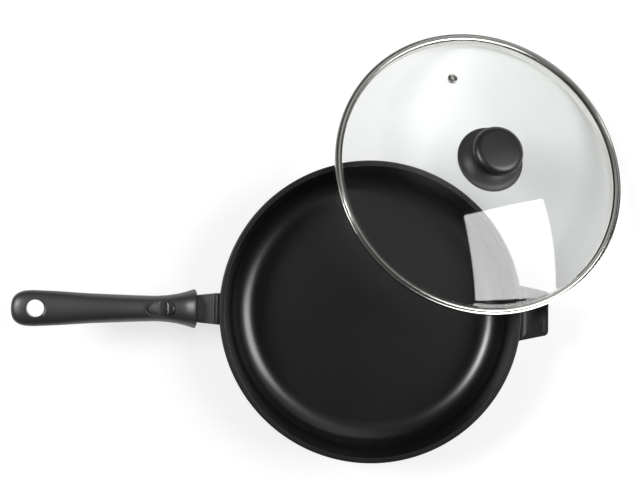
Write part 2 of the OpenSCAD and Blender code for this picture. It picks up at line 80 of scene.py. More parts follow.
class PanSizes(bpy.types.PropertyGroup):
    """Sizes of the cast pan, its lug and its side grip"""
    mouth_r: length("Mouth radius", "Radius of the straight mouth", 140.5)
    lip_w: length("Lip width", "Width of the rim from the mouth to its outer edge", 5.5)
    height: length("Height", "Height of the rim above the table", 72)
    floor_r: length("Floor radius", "Radius of the flat cooking floor", 115)
    floor_t: length("Floor thickness", "Thickness of the base", 6.5)
    wall_t: length("Wall thickness", "Thickness of the cast wall", 3.7)
    fillet_r: length("Inner fillet", "Radius between the floor and the wall", 24)
    foot_overhang: length("Foot overhang", "How far the foot stands out past the floor", 6)
    mouth_h: length("Mouth height", "Height of the straight mouth", 6)
    lip_h: length("Lip height", "Height of the thick lip", 7)
    lip_round: length("Lip rounding", "Rounding of the lip's outer edge", 2.2)
    lip_step: length("Lip step", "Height of the small step on the lip", 0.4)
    groove_w: length("Groove width", "Width of each turned ring in the base", 1.6)
    groove_depth: length("Groove depth", "Depth of each turned ring in the base", 0.5)
    lug_w: length("Lug width", "Width of the lug at the pan", 30.4)
    lug_end_w: length("Lug end width", "Width of the lug at the handle", 26.5)
    lug_h: length("Lug height", "Height of the lug at the pan", 16)
    lug_end_h: length("Lug end height", "Height of the lug at the handle", 14)
    lug_l: length("Lug length", "Length of the lug between the pan and the handle", 29.3)
    lug_drop: length("Lug drop", "Depth of the lug's axis below the rim, at its root", 17)
    rib_first: length("First rib", "Distance of the first rib from the lug's root", 10.6)
    rib_pitch: length("Rib pitch", "Distance from the first rib to the second", 3.1)
    rib_w: length("Rib width", "Width of each rib on the lug", 1.3)
    tongue_l: length("Tongue length", "Length of the tongue inside the handle", 48)
    tongue_w: length("Tongue width", "Width of the tongue", 15)
    tongue_h: length("Tongue height", "Height of the tongue", 9)
    ear_reach: length("Side grip reach", "Reach of the side grip past the rim", 28.2)
    ear_root_w: length("Side grip root", "Width of the side grip at the pan", 56)
    ear_end_w: length("Side grip end", "Width of the side grip at its outer edge", 41.6)
    ear_t: length("Side grip thickness", "Thickness of the side grip", 9)
    ear_border: length("Side grip border", "Width of the raised border", 3)
    ear_recess: length("Side grip recess", "Depth of the field inside the border", 1.2)
    ear_slope: length("Side grip slope", "Width of the slope from the border to the field", 2.2)
    ear_field: length("Side grip field", "Distance from the rim to the border's inner edge", 4.6)
    ear_drop: length("Side grip drop", "Depth of the side grip's middle below the rim", 18)
    ear_rise: angle("Side grip rise", "Angle by which the side grip rises outwards", 4)


class HandleSizes(bpy.types.PropertyGroup):
    """Sizes of the moulded handle and its thumb slider"""
    tilt: angle("Tilt", "Angle by which the handle rises", 14)
    lug_gap: length("Lug gap", "Gap between the lug's end and the grip", 0.3)
    grip_l: length("Grip length", "Length of the moulded grip", 175)
    end_w: length("End width", "Width of the grip at its rounded end", 34.2)
    grip_h: length("Grip height", "Height of the grip over the slider", 23.8)
    hang_r: length("Hanging hole", "Radius of the hanging hole", 8.25)
    hang_lip: length("Hole lip", "Rounding of the hanging hole's edge", 2.4)
    hang_share: share("Hole place", "Place of the hanging hole, as a share of the grip", 0.872)
    scoop_start: length("Scoop place", "Distance from the grip's mouth to the recess", 22.3)
    scoop_l: length("Scoop length", "Length of the recess around the slider", 29.6)
    scoop_w: length("Scoop width", "Width of the recess around the slider", 15.4)
    pad_gap: length("Slider gap", "Gap between the recess and the slider at the pan's end", 0.3)
    pad_l: length("Slider length", "Length of the thumb slider", 25.4)
    pad_w: length("Slider width", "Width of the thumb slider", 14.2)
    dish_depth: length("Slider dish", "Depth of the dish for the thumb", 1.8)


class LidSizes(bpy.types.PropertyGroup):
    """Sizes of the glass lid, its steel band, its vent and its knob"""
    skirt_gap: length("Skirt gap", "Gap between the skirt and the pan's mouth", 1.1)
    flange_w: length("Flange width", "Width of the band from its skirt to its outer edge", 6.8)
    skirt_h: length("Skirt depth", "Depth of the skirt below the flange", 8)
    band_t: length("Band thickness", "Thickness of the steel band", 0.8)
    band_lip: length("Band lip", "How far the band folds over the glass", 6.2)
    bead_h: length("Bead height", "Height of the beads pressed into the fold", 0.5)
    dome_h: length("Dome height", "Height of the dome above the flange", 30)
    glass_t: length("Glass thickness", "Thickness of the tempered glass", 4)
    glass_gap: length("Glass gap", "Gap between the glass and the band", 0.2)
    vent_offset: length("Vent place", "Distance of the vent from the middle", 93)
    reach: share("Lean reach", "Where the skirt meets the rim, in skirt radii from the foot", 1.602)
    azimuth: angle("Lean direction", "Direction in which the lid leans away", 52.5)
    turn: angle("Lid turn", "Turn of the lid about its own axis", 56)
    knob_r: length("Knob radius", "Radius of the knob's head", 24.5)
    knob_h: length("Knob height", "Height of the knob above the glass", 28)
    plate_r: length("Plate radius", "Radius of the flared plate", 32.8)


class Finishes(bpy.types.PropertyGroup):
    """Colours of the finishes"""
    coating: colour("Coating", "Non-stick coating inside the pan", (0.0045, 0.0045, 0.0043))
    lacquer: colour("Lacquer", "Matte lacquer outside the pan", (0.0095, 0.0095, 0.0092))
    # Painted light: the lug's lacquer is made lighter than the pan's own lacquer, standing in for the
    # light that falls on the lug
    lug: colour("Lug", "Matte lacquer of the lug", (0.046, 0.046, 0.0445))
    grip: colour("Grip", "Moulded handle", (0.019, 0.019, 0.0195))
    slider: colour("Slider", "Thumb slider", (0.015, 0.015, 0.0155))
    knob: colour("Knob", "Head of the knob", (0.009, 0.009, 0.0092))
    # Painted light: the plate is made lighter than the knob's head, standing in for the light that falls
    # on its sloping side
    plate: colour("Plate", "Flared plate under the knob", (0.042, 0.042, 0.043))
    band: colour("Band", "Steel band of the lid", (0.58, 0.575, 0.55))
    steel: colour("Steel", "Liner, screws and spring", (0.58, 0.58, 0.57))
    brass: colour("Brass", "Threaded insert", (0.72, 0.53, 0.26))
    silicone: colour("Silicone", "Seals of the knob", (0.74, 0.74, 0.71))
    glass: colour("Glass", "Tempered glass", (0.905, 0.918, 0.908))
    floor: colour("Floor", "Studio floor", (0.4, 0.4, 0.4))


class Studio(bpy.types.PropertyGroup):
    """Levels of the lamps, the world and the studio paper"""
    lamp_right: amount("Right lamp", "Radiance of the softbox on the right", 7.5)
    lamp_left: amount("Left lamp", "Radiance of the softbox on the left", 23)
    sky: amount("Sky", "Level of the world all round", 0.07)
    sky_behind: amount("Sky behind", "Level of the soft light behind the pan", 0.75)
    paper: amount("Paper", "Glow of the paper that the camera and mirrors see", 0.68)
    # Painted shade: the paper's glow seen through the glass, lower on the pan's right than on its left
    paper_shaded: amount("Paper in shade", "Glow seen through glass on the pan's right", 0.235)
    paper_lit: amount("Paper in light", "Glow seen through glass on the pan's left", 0.57)


class PanSettings(bpy.types.PropertyGroup):
    """All the settings of the saute pan"""
    pan: PointerProperty(type=PanSizes)
    handle: PointerProperty(type=HandleSizes)
    lid: PointerProperty(type=LidSizes)
    finish: PointerProperty(type=Finishes)
    studio: PointerProperty(type=Studio)


# Modelling
def deselect():
    if bpy.context.object and bpy.context.object.mode != "OBJECT":
        bpy.ops.object.mode_set(mode="OBJECT")
    bpy.ops.object.select_all(action="DESELECT")


def work_on(piece):
    deselect()
    piece.select_set(True)
    bpy.context.view_layer.objects.active = piece


def edit(piece):
    work_on(piece)
    bpy.ops.object.mode_set(mode="EDIT")
    bpy.ops.mesh.select_mode(type="VERT")


def close_edit():
    bpy.ops.object.mode_set(mode="OBJECT")


def pick(piece, test, kind="FACE"):
    """Select the faces or edges whose middle and normal pass the test."""
    bpy.ops.mesh.select_mode(type=kind)
    bpy.ops.mesh.select_all(action="DESELECT")
    mesh = bmesh.from_edit_mesh(piece.data)
    if kind == "FACE":
        for face in mesh.faces:
            face.select_set(test(face.calc_center_median(), face.normal))
    else:
        for edge in mesh.edges:
            a, b = (v.co for v in edge.verts)
            edge.select_set(test((a + b) / 2, b - a))
    bmesh.update_edit_mesh(piece.data)


def rounded(corners, closed=False):
    """Turn corners of two places and a rounding into points, with an arc at each rounding."""
    points = []
    last = len(corners) - 1
    for i, (x, y, radius) in enumerate(corners):
        here = Vector((x, y))
        if radius <= 0 or (not closed and i in (0, last)):
            points.append(here)
            continue
        before = Vector(corners[i - 1][:2]) - here
        after = Vector(corners[(i + 1) % len(corners)][:2]) - here
        half = before.angle(after) / 2
        reach = min(radius / tan(half), before.length * 0.499, after.length * 0.499)
        radius = reach * tan(half)
        centre = here + (before.normalized() + after.normalized()).normalized() * radius / sin(half)
        first = here + before.normalized() * reach - centre
        final = here + after.normalized() * reach - centre
        turn = first.angle_signed(final)
        steps = max(2, round(abs(degrees(turn)) / 9))
        for k in range(steps + 1):
            points.append(centre + Matrix.Rotation(-turn * k / steps, 2) @ first)
    return points


def draw(name, points, plane="XZ", closed=False):
    """Extrude one vertex along the points of a profile, as by hand, and leave it in edit mode."""
    deselect()
    places = [Vector((p[0], 0, p[1])) if plane == "XZ" else Vector((p[0], p[1], 0)) for p in points]
    bpy.ops.mesh.primitive_plane_add(size=mm)
    piece = bpy.context.object
    piece.name = piece.data.name = name
    edit(piece)
    bpy.ops.mesh.select_all(action="SELECT")
    bpy.ops.mesh.merge(type="CENTER")
    bpy.ops.transform.translate(value=places[0])
    for here, there in zip(places, places[1:]):
        bpy.ops.mesh.extrude_region_move(TRANSFORM_OT_translate={"value": there - here})
    if closed:
        bpy.ops.mesh.select_all(action="SELECT")
        bpy.ops.mesh.edge_face_add()
    return piece


def tidy(piece):
    """Merge doubles, turn the faces outwards and leave edit mode."""
    if bpy.context.object.mode != "EDIT":
        edit(piece)
    bpy.ops.mesh.select_all(action="SELECT")
    bpy.ops.mesh.remove_doubles(threshold=0.002 * mm)
    bpy.ops.mesh.normals_make_consistent(inside=False)
    close_edit()


def lathe(name, points, steps=128):
    """Spin a profile of radius and height about the Z axis."""
    piece = draw(name, points)
    bpy.ops.mesh.select_all(action="SELECT")
    bpy.ops.mesh.spin(steps=steps, angle=2 * pi, center=(0, 0, 0), axis=(0, 0, 1))
    tidy(piece)
    return piece


def slab(name, points, low, high, flare=1.0):
    """Extrude a flat outline from one height to another, flared about its middle."""
    piece = draw(name, points, "XY", closed=True)
    bpy.ops.mesh.select_all(action="SELECT")
    bpy.ops.transform.translate(value=(0, 0, low))
    bpy.ops.mesh.extrude_region_move(TRANSFORM_OT_translate={"value": (0, 0, high - low)})
    if flare != 1:
        bpy.ops.transform.resize(value=(flare, flare, 1))
    tidy(piece)
    return piece


def block(name, low, high):
    """A box between two corners, as the start of a piece or as a cutter."""
    deselect()
    low, high = Vector(low), Vector(high)
    bpy.ops.mesh.primitive_cube_add(size=1, location=(low + high) / 2)
    piece = bpy.context.object
    piece.name = piece.data.name = name
    piece.scale = high - low
    bpy.ops.object.transform_apply(location=True, rotation=True, scale=True)
    return piece


def cross_cut(piece, places, normal):
    """Cut the whole mesh, in edit mode, at each place along an axis."""
    normal = Vector(normal)
    for place in places:
        bpy.ops.mesh.select_all(action="SELECT")
        bpy.ops.mesh.bisect(plane_co=normal * place, plane_no=normal)


def apply_modifier(piece, kind, **values):
    work_on(piece)
    modifier = piece.modifiers.new(kind.title(), kind)
    for key, value in values.items():
        setattr(modifier, key, value)
    bpy.ops.object.modifier_apply(modifier=modifier.name)


def combine(piece, other, operation="DIFFERENCE"):
    """Cut a piece with another object, or join or cross them, and remove the other object."""
    apply_modifier(piece, "BOOLEAN", operation=operation, object=other, solver="EXACT")
    bpy.data.objects.remove(other)


def soften(piece, width, segments=3, limit=30):
    apply_modifier(piece, "BEVEL", width=width, segments=segments, limit_method="ANGLE",
                   angle_limit=radians(limit), miter_outer="MITER_ARC", harden_normals=False)


def place(piece, matrix):
    """Move a finished mesh into its frame, so that its object stays at the origin."""
    work_on(piece)
    piece.matrix_world = matrix
    bpy.ops.object.transform_apply(location=True, rotation=True, scale=True)
    if matrix.determinant() < 0:
        edit(piece)
        bpy.ops.mesh.select_all(action="SELECT")
        bpy.ops.mesh.normals_make_consistent(inside=False)
        close_edit()


def finish_piece(piece, material, body, replaced=(), smooth=32):
    """Shade a piece, give it its finish and tie it to its body."""
    work_on(piece)
    bpy.ops.object.shade_smooth_by_angle(angle=radians(smooth))
    piece.data.materials.append(material)
    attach(piece, body)
    if replaced:
        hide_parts(*replaced)


# Frames
def settings():
    return bpy.context.scene.saute_pan


def handle_frame():
    """X runs outwards along the handle from the lug's root and Z is square to it."""
    pan, handle = settings().pan, settings().handle
    overlap = 0.5 * mm
    root = Vector((overlap - pan.mouth_r, 0, pan.height - pan.lug_drop))
    return (Matrix.Translation(root) @ Matrix.Rotation(handle.tilt, 4, "Y")
            @ Matrix.Diagonal((-1, 1, 1, 1)))


def grip_start():
    """Distance from the lug's root to the grip's mouth."""
    return settings().pan.lug_l + settings().handle.lug_gap


def skirt_radius():
    return settings().pan.mouth_r - settings().lid.skirt_gap


def lid_frame():
    """The lid stands on the table and leans on the rim. Z is its own axis, from its flange up."""
    pan, lid = settings().pan, settings().lid
    skirt_r = skirt_radius()
    gap, rim_cut = 0.3 * mm, 0.15 * mm
    lean = asin((pan.height - gap) / (skirt_r * lid.reach))
    across = skirt_r * sqrt(1 - (lid.reach - 1) ** 2)
    along = skirt_r * (lid.reach - 1) * cos(lean) + lid.skirt_h * sin(lean)
    out = sqrt((pan.mouth_r + pan.lip_w - rim_cut) ** 2 - across ** 2) + along
    up = skirt_r * sin(lean) + lid.skirt_h * cos(lean) + gap
    return (Matrix.Translation((out * cos(lid.azimuth), out * sin(lid.azimuth), up))
            @ Matrix.Rotation(lid.azimuth, 4, "Z") @ Matrix.Rotation(lean, 4, "Y")
            @ Matrix.Rotation(lid.turn, 4, "Z"))


def dome():
    """Radius of the dome's outer sphere and height of its middle above the flange."""
    lid = settings().lid
    edge_r = skirt_radius() - lid.band_t
    edge_z = lid.band_t + lid.glass_gap + lid.glass_t
    rise = lid.dome_h - edge_z
    radius = (edge_r ** 2 + rise ** 2) / (2 * rise)
    return radius, lid.dome_h - radius, edge_r, edge_z


def vent_frame():
    radius, middle, _, _ = dome()
    tilt = asin(settings().lid.vent_offset / radius)
    return (lid_frame() @ Matrix.Translation((0, 0, middle)) @ Matrix.Rotation(tilt, 4, "Y")
            @ Matrix.Translation((0, 0, radius)))


# Finishes
def new_group(name, inputs, outputs):
    group = bpy.data.node_groups.new(name, "ShaderNodeTree")
    for label, kind, value in inputs:
        socket = group.interface.new_socket(label, in_out="INPUT", socket_type=kind)
        if value is not None:
            socket.default_value = value
    for label, kind in outputs:
        group.interface.new_socket(label, in_out="OUTPUT", socket_type=kind)
    return group, group.nodes.new("NodeGroupInput"), group.nodes.new("NodeGroupOutput")


def node(tree, kind, links=(), **values):
    """Add a node, set its own values and link or fill its sockets."""
    made = tree.nodes.new(kind)
    for key, value in values.items():
        setattr(made, key, value)
    for socket, source in dict(links).items():
        if isinstance(source, bpy.types.NodeSocket):
            tree.links.new(source, made.inputs[socket])
        else:
            made.inputs[socket].default_value = source
    return made


def grain_group():
    """Fine grain of a coated or moulded surface, with slow patches of shade over it."""
    group, given, out = new_group("surface_grain", [
        ("Vector", "NodeSocketVector", None), ("Grain Scale", "NodeSocketFloat", 2400.0),
        ("Patch Scale", "NodeSocketFloat", 18.0)],
        [("Grain", "NodeSocketFloat"), ("Patches", "NodeSocketFloat"), ("Flecks", "NodeSocketFloat")])
    grain = node(group, "ShaderNodeTexNoise", {"Vector": given.outputs["Vector"], "Detail": 2.0,
                                               "Scale": given.outputs["Grain Scale"]})
    patches = node(group, "ShaderNodeTexNoise", {"Vector": given.outputs["Vector"], "Detail": 4.0,
                                                 "Scale": given.outputs["Patch Scale"]})
    flecks = node(group, "ShaderNodeMapRange", {"Value": grain.outputs["Fac"], "From Min": 0.66,
                                                "From Max": 0.74})
    group.links.new(grain.outputs["Fac"], out.inputs["Grain"])
    group.links.new(patches.outputs["Fac"], out.inputs["Patches"])
    group.links.new(flecks.outputs["Result"], out.inputs["Flecks"])
    return group


def rings_group():
    """Fine rings around the Z axis, as a lathe or a polishing wheel leaves them."""
    group, given, out = new_group("turned_rings", [
        ("Vector", "NodeSocketVector", None), ("Scale", "NodeSocketFloat", 900.0)],
        [("Rings", "NodeSocketFloat")])
    wave = node(group, "ShaderNodeTexWave", {"Vector": given.outputs["Vector"], "Distortion": 1.2,
                                             "Scale": given.outputs["Scale"], "Detail": 2.0,
                                             "Detail Scale": 0.4},
                wave_type="RINGS", rings_direction="Z")
    group.links.new(wave.outputs["Fac"], out.inputs["Rings"])
    return group


def shared(name, build):
    return bpy.data.node_groups.get(name) or build()


def surface(name, tint, rough, metallic=0.0, grain=2400.0, bump=0.06, depth=0.05, patch=18.0,
            change=0.25, rings=0.0, matrix=None, fleck=0.0, shine=0.5):
    """A finish of one base colour with grain, patches of shade and, where asked, turned rings."""
    material = bpy.data.materials.new(name)
    material.use_nodes = True
    tree = material.node_tree
    shader = tree.nodes["Principled BSDF"]
    vector = node(tree, "ShaderNodeTexCoord").outputs["Object"]
    if matrix is not None:
        back = matrix.inverted()
        vector = node(tree, "ShaderNodeMapping", {"Vector": vector, "Location": back.translation,
                                                  "Rotation": back.to_euler()}).outputs["Vector"]
    marks = node(tree, "ShaderNodeGroup", node_tree=shared("surface_grain", grain_group))
    marks.inputs["Grain Scale"].default_value = grain
    marks.inputs["Patch Scale"].default_value = patch
    tree.links.new(vector, marks.inputs["Vector"])
    dark = [c * (1 - change) for c in tint] + [1]
    light = [min(1, c * (1 + change)) for c in tint] + [1]
    base = node(tree, "ShaderNodeMix", {"Factor": marks.outputs["Patches"]}, data_type="RGBA")
    base.inputs[6].default_value = dark
    base.inputs[7].default_value = light
    result = base.outputs[2]
    if fleck:
        specks = node(tree, "ShaderNodeMix", {"Factor": marks.outputs["Flecks"]}, data_type="RGBA")
        tree.links.new(result, specks.inputs[6])
        specks.inputs[7].default_value = [min(1, c * fleck) for c in tint] + [1]
        result = specks.outputs[2]
    tree.links.new(result, shader.inputs["Base Color"])
    gloss = node(tree, "ShaderNodeMapRange", {"Value": marks.outputs["Patches"],
                                              "To Min": rough - depth, "To Max": rough + depth})
    tree.links.new(gloss.outputs["Result"], shader.inputs["Roughness"])
    height = marks.outputs["Grain"]
    if rings:
        turned = node(tree, "ShaderNodeGroup", node_tree=shared("turned_rings", rings_group))
        turned.inputs["Scale"].default_value = rings
        tree.links.new(vector, turned.inputs["Vector"])
        height = node(tree, "ShaderNodeMix", {0: 0.6, 2: height,
                                              3: turned.outputs["Rings"]}).outputs[0]
    relief = node(tree, "ShaderNodeBump", {"Height": height, "Strength": bump, "Distance": 0.1 * mm})
    tree.links.new(relief.outputs["Normal"], shader.inputs["Normal"])
    shader.inputs["Metallic"].default_value = metallic
    shader.inputs["Specular IOR Level"].default_value = shine
    return material


def glass(name, tint):
    """Clear tempered glass with a faint film that changes its gloss."""
    material = bpy.data.materials.new(name)
    material.use_nodes = True
    tree = material.node_tree
    shader = tree.nodes["Principled BSDF"]
    vector = node(tree, "ShaderNodeTexCoord").outputs["Object"]
    film = node(tree, "ShaderNodeTexNoise", {"Vector": vector, "Scale": 14.0, "Detail": 3.0})
    gloss = node(tree, "ShaderNodeMapRange", {"Value": film.outputs["Fac"], "To Min": 0.0,
                                              "To Max": 0.012})
    tree.links.new(gloss.outputs["Result"], shader.inputs["Roughness"])
    shader.inputs["Base Color"].default_value = (*tint, 1)
    shader.inputs["Transmission Weight"].default_value = 1.0
    shader.inputs["IOR"].default_value = 1.47
    out = tree.nodes["Material Output"]
    clear = node(tree, "ShaderNodeBsdfTransparent", {"Color": (*tint, 1)})
    path = node(tree, "ShaderNodeLightPath")
    both = node(tree, "ShaderNodeMixShader", {0: path.outputs["Is Shadow Ray"]})
    tree.links.new(shader.outputs["BSDF"], both.inputs[1])
    tree.links.new(clear.outputs["BSDF"], both.inputs[2])
    tree.links.new(both.outputs["Shader"], out.inputs["Surface"])
    return material


# Pan
def pan_profile(pan):
    """Half of the pan's section, from the middle of the base round the lip to the floor's middle."""
    mouth_r, height = pan.mouth_r, pan.height
    rim_r = mouth_r + pan.lip_w
    fillet_z = pan.floor_t + pan.fillet_r
    wall_top = height - pan.mouth_h
    run, rise = mouth_r - pan.floor_r, wall_top - fillet_z
    lean = atan2(rise, run) - acos(pan.fillet_r / sqrt(run ** 2 + rise ** 2))
    shell_r = pan.fillet_r + pan.wall_t
    foot_r = pan.floor_r + pan.foot_overhang
    grooves, first_share, last_share = 7, 0.28, 0.94
    half, deep = pan.groove_w / 2, pan.groove_depth
    slant, soft, foot_h = 0.1 * mm, 0.2 * mm, 4 * mm
    corners = [(0, 0, 0)]
    for i in range(grooves):
        middle = foot_r * (first_share + (last_share - first_share) * i / (grooves - 1))
        corners += [(middle - half, 0, soft), (middle - half + slant, deep, soft),
                    (middle + half - slant, deep, soft), (middle + half, 0, soft)]
    corners.append((foot_r, 0, 1 * mm))
    points = rounded(corners + [(foot_r, foot_h, 0)])[:-1]
    start = asin(pan.foot_overhang / shell_r) - pi / 2
    for k in range(17):
        turn = start + (lean - start) * k / 16
        points.append(Vector((pan.floor_r + shell_r * cos(turn), fillet_z + shell_r * sin(turn))))
    step_w_share = 0.42
    step_r = mouth_r + step_w_share * pan.lip_w
    low = height - pan.lip_step
    points += rounded([
        (points[-1].x, points[-1].y, 0),
        (mouth_r + pan.wall_t / cos(lean), wall_top - pan.lip_h / 2, 3 * mm),
        (rim_r, height - pan.lip_h + pan.lip_w / 4, 2 * mm),
        (rim_r, height, pan.lip_round),
        (step_r + pan.lip_step, height, 0.25 * mm),
        (step_r, low, 0.3 * mm),
        (mouth_r, low, 1 * mm),
        (mouth_r, wall_top, 3 * mm),
        (pan.floor_r + pan.fillet_r * cos(lean), fillet_z + pan.fillet_r * sin(lean), 0)])[1:]
    for k in range(1, 25):
        turn = lean + (-pi / 2 - lean) * k / 24
        points.append(Vector((pan.floor_r + pan.fillet_r * cos(turn),
                              fillet_z + pan.fillet_r * sin(turn))))
    points += [Vector((pan.floor_r * k / 6, pan.floor_t)) for k in range(5, -1, -1)]
    return points


class PAN_OT_shell(bpy.types.Operator):
    """Turn the cast pan: base with rings, wall, lip and coated inside"""
    bl_idname = "saute_pan.shell"
    bl_label = "Pan shell"

    def execute(self, context):
        pan, finish = settings().pan, settings().finish
        shell = lathe("pan_shell", pan_profile(pan), 180)
        outside = surface("matte_lacquer", finish.lacquer, 0.38, grain=1800, bump=0.10, patch=30,
                          rings=700, shine=0.4)
        inside = surface("nonstick_coating", finish.coating, 0.29, grain=2600, bump=0.05, patch=9,
                         depth=0.03, change=0.15, fleck=3.0, shine=0.8)
        finish_piece(shell, outside, "pan", ["pan_body"], 40)
        shell.data.materials.append(inside)
        edit(shell)
        bpy.context.object.active_material_index = 1
        coated_r, coated_z = pan.mouth_r + 0.1 * mm, pan.floor_t * 0.9
        pick(shell, lambda c, n: c.xy.length < coated_r and c.z > coated_z)
        bpy.ops.object.material_slot_assign()
        close_edit()
        return {"FINISHED"}


class PAN_OT_lug(bpy.types.Operator):
    """Shape the lug with its two ribs and the notched tongue that the handle takes"""
    bl_idname = "saute_pan.lug"
    bl_label = "Lug and tongue"

    def execute(self, context):
        pan, finish = settings().pan, settings().finish
        end, rib_w, near = pan.lug_l, pan.rib_w, 0.1 * mm
        ribs, rises = (pan.rib_first, pan.rib_first + pan.rib_pitch), (0.8 * mm, 0.5 * mm)
        lug = block("pan_lug", (0, -pan.lug_w / 2, -pan.lug_h / 2), (end, pan.lug_w / 2, pan.lug_h / 2))
        edit(lug)
        cross_cut(lug, [ribs[0]], (1, 0, 0))
        pick(lug, lambda c, n: c.x > end - near)
        bpy.ops.transform.resize(value=(1, pan.lug_end_w / pan.lug_w, pan.lug_end_h / pan.lug_h))
        cross_cut(lug, [ribs[0] + rib_w, ribs[1], ribs[1] + rib_w], (1, 0, 0))
        # Each rib rises and then slopes down towards the handle
        slope_share, rib_low, rib_long = 0.85, pan.lug_h / 2 - 0.3 * mm, 5 * mm
        for rib, rise in zip(ribs, rises):
            pick(lug, lambda c, n: rib < c.x < rib + rib_w and n.z > 0.8)
            bpy.ops.mesh.extrude_region_move(TRANSFORM_OT_translate={"value": (0, 0, rise)})
            pick(lug, lambda c, n: abs(c.x - rib - rib_w) < near / 2 and c.z > rib_low
                 and abs(n.y) > rib_long, "EDGE")
            bpy.ops.transform.translate(value=(0, 0, -slope_share * rise))
        pick(lug, lambda c, n: c.x > end - near and n.x > 0.9)
        bpy.ops.mesh.extrude_region_move()
        bpy.ops.transform.resize(value=(1, pan.tongue_w / pan.lug_end_w, pan.tongue_h / pan.lug_end_h))
        bpy.ops.mesh.extrude_region_move(TRANSFORM_OT_translate={"value": (pan.tongue_l, 0, 0)})
        # The notch in the tongue that the latch drops into
        notch, notch_w, deep = (end + 35.2 * mm, end + 38.2 * mm), 4.4 * mm, 3.6 * mm
        cross_cut(lug, notch, (1, 0, 0))
        cross_cut(lug, (-notch_w, notch_w), (0, 1, 0))
        pick(lug, lambda c, n: n.z > 0.9 and notch[0] < c.x < notch[1] and abs(c.y) < notch_w)
        bpy.ops.mesh.extrude_region_move(TRANSFORM_OT_translate={"value": (0, 0, -deep)})
        # The root's upper and lower edges follow the wall of the pan
        root_high, root_low = 3.03 * mm, -1.7 * mm
        for lean, high in ((root_high, True), (root_low, False)):
            pick(lug, lambda c, n: c.x < near and abs(n.z) < near and (c.z > 0) == high
                 and abs(c.z) > 7 * mm, "EDGE")
            bpy.ops.transform.translate(value=(lean, 0, 0))
        tidy(lug)
        soften(lug, 0.35 * mm, 2)
        place(lug, handle_frame())
        # The lug's lacquer carries painted light: it is lighter than the lacquer of the rest of the pan
        finish_piece(lug, surface("lug_lacquer_painted_light", finish.lug, 0.5, grain=1500, bump=0.16,
                                  patch=60, change=0.2), "pan")
        return {"FINISHED"}


class PAN_OT_side_grip(bpy.types.Operator):
    """Shape the side grip with its raised border and sunk field"""
    bl_idname = "saute_pan.side_grip"
    bl_label = "Side grip"

    def execute(self, context):
        pan, finish = settings().pan, settings().finish
        out = pan.lip_w + pan.ear_reach
        half, thick, root = pan.ear_root_w / 2, pan.ear_t / 2, 1.2 * mm
        near, corner_r, under_recess = 0.1 * mm, 4 * mm, 1.6 * mm
        grip = block("pan_side_grip", (root, -half, -thick), (out, half, thick))
        edit(grip)
        pick(grip, lambda c, n: n.x > 0.9)
        bpy.ops.transform.resize(value=(1, pan.ear_end_w / pan.ear_root_w, 1))
        pick(grip, lambda c, n: c.x > out - near and abs(n.z) > thick, "EDGE")
        bpy.ops.mesh.bevel(offset=corner_r, segments=8)
        field = pan.lip_w + pan.ear_field
        cross_cut(grip, [field - pan.ear_border], (1, 0, 0))
        pick(grip, lambda c, n: n.z > 0.9 and c.x > field - pan.ear_border)
        bpy.ops.mesh.inset(thickness=pan.ear_border)
        bpy.ops.mesh.inset(thickness=pan.ear_slope, depth=-pan.ear_recess)
        pick(grip, lambda c, n: n.z < -0.9 and c.x > field - pan.ear_border)
        bpy.ops.mesh.inset(thickness=1.5 * pan.ear_border)
        bpy.ops.mesh.extrude_region_move(TRANSFORM_OT_translate={"value": (0, 0, under_recess)})
        tidy(grip)
        soften(grip, 0.6 * mm, 3)
        place(grip, Matrix.Translation((pan.mouth_r, 0, pan.height - pan.ear_drop))
              @ Matrix.Rotation(-pan.ear_rise, 4, "Y"))
        finish_piece(grip, surface("side_grip_lacquer", finish.lacquer, 0.38, grain=1800, bump=0.12,
                                   patch=60, shine=0.4), "pan")
        return {"FINISHED"}


# Handle
GRIP = [
    # place along the grip, half width, height above and height below the axis, as shares
    (0, 0.402, 0.46, 0.31), (0.0055, 0.478, 0.62, 0.40), (0.0125, 0.548, 0.790, 0.485),
    (0.0170, 0.559, 0.826, 0.504), (0.0230, 0.553, 0.818, 0.502), (0.042, 0.520, 0.749, 0.489),
    (0.0695, 0.477, 0.665, 0.464), (0.123, 0.415, 0.600, 0.435), (0.173, 0.381, 0.580, 0.420),
    (0.235, 0.363, 0.579, 0.412), (0.318, 0.371, 0.577, 0.408), (0.45, 0.395, 0.574, 0.400),
    (0.583, 0.421, 0.527, 0.384), (0.67, 0.447, 0.485, 0.369), (0.764, 0.477, 0.440, 0.349),
    (0.84, 0.493, 0.408, 0.332), (0.881, 0.500, 0.393, 0.322), (0.915, 0.493, 0.378, 0.311),
    (0.945, 0.463, 0.355, 0.294), (0.968, 0.405, 0.318, 0.265), (0.984, 0.325, 0.264, 0.222),
    (0.994, 0.225, 0.192, 0.164), (1, 0.08, 0.08, 0.07)]
SECTION_POWER = 2.3  # 2 is an ellipse, more is squarer
DISH = [
    # place along the slider from the pan's end, and depth as a share of the dish's depth
    (0.08, -0.3), (0.157, 0), (0.197, 0.08), (0.236, 0.36), (0.287, 0.82), (0.339, 0.95),
    (0.42, 1), (0.53, 0.96), (0.61, 0.86), (0.70, 0.68), (0.787, 0.47), (0.906, 0.2), (1, 0.02),
    (1.1, -0.3)]


def smooth_share(where, column, rows=GRIP):
    """Value of a table at a place, on a curve that never overshoots its points."""
    i = max(0, min(len(rows) - 2, sum(row[0] <= where for row in rows) - 1))
    slopes = [(b[column] - a[column]) / (b[0] - a[0]) for a, b in zip(rows, rows[1:])]

    def slope(k):
        if k in (0, len(rows) - 1):
            return slopes[min(k, len(slopes) - 1)]
        a, b = slopes[k - 1], slopes[k]
        return 0 if a * b <= 0 else 2 * a * b / (a + b)
    wide = rows[i + 1][0] - rows[i][0]
    t = (where - rows[i][0]) / wide
    low, high = rows[i][column], rows[i + 1][column]
    return (low * (1 + 2 * t) * (1 - t) ** 2 + slope(i) * wide * t * (1 - t) ** 2
            + high * t * t * (3 - 2 * t) - slope(i + 1) * wide * t * t * (1 - t))


